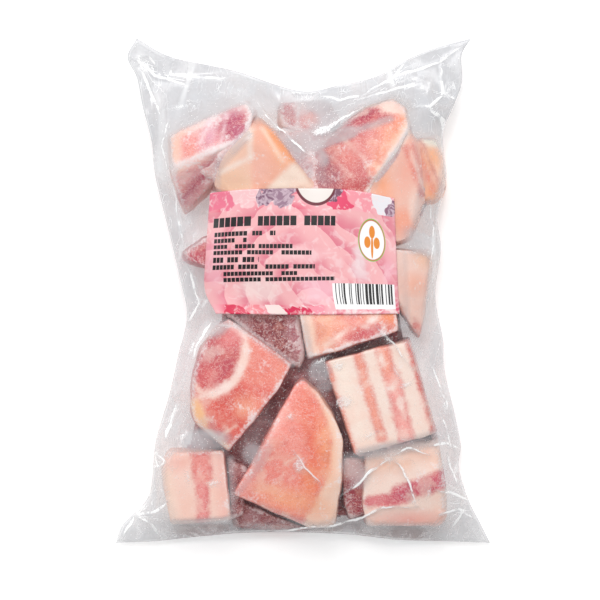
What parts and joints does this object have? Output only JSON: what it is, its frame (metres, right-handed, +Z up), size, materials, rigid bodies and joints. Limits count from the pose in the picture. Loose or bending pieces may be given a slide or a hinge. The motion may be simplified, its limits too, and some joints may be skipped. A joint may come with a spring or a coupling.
{
  "type": "sealed bag of frozen pork cuts",
  "caption": "Clear sealed pillow bag of frozen pork belly cuts with skin, lying flat, with a printed label stuck on its front.",
  "frame": {"origin": "on the table, under the middle of the bag's box", "axes": "+X across the bag, to the right as its label is seen; +Y from its bottom edge to its top edge; +Z up, out of its labelled front"},
  "size_m": [0.204, 0.274, 0.0415],
  "materials": {
    "film_and_pork": "clear hazy film over frozen pork",
    "label": "smooth printed label"
  },
  "bodies": {
    "root": {"bag": "film_and_pork", "label": "label"}
  },
  "joints": []
}
